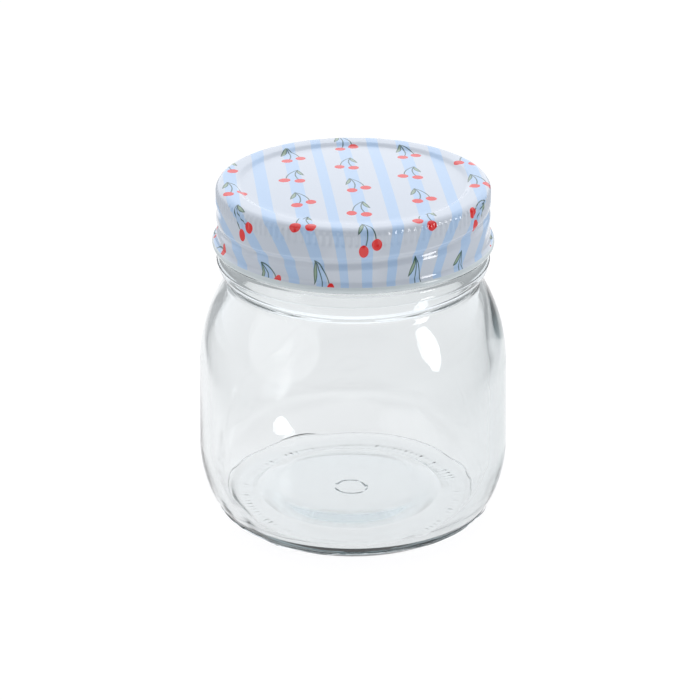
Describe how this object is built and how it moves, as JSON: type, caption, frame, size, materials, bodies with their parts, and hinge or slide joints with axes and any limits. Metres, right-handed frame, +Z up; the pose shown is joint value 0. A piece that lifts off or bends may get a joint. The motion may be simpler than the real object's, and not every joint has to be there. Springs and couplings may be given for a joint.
{
  "type": "jam jar",
  "caption": "Small round clear glass jam jar, empty, with a one-piece screw lid of striped, fruit-printed tinplate.",
  "frame": {"origin": "centre of the ring that the jar stands on, at the floor", "axes": "+Z up along the jar's axis, -Y towards the viewer of the lid's print"},
  "size_m": [0.082, 0.082, 0.0925],
  "materials": {
    "clear_glass": "clear polished container glass with a faint cold green tint",
    "printed_tinplate": "glossy lacquered print of pale blue stripes and cherry pairs on white"
  },
  "bodies": {
    "root": {"jar_glass": "clear_glass", "screw_lid": "printed_tinplate"}
  },
  "joints": []
}
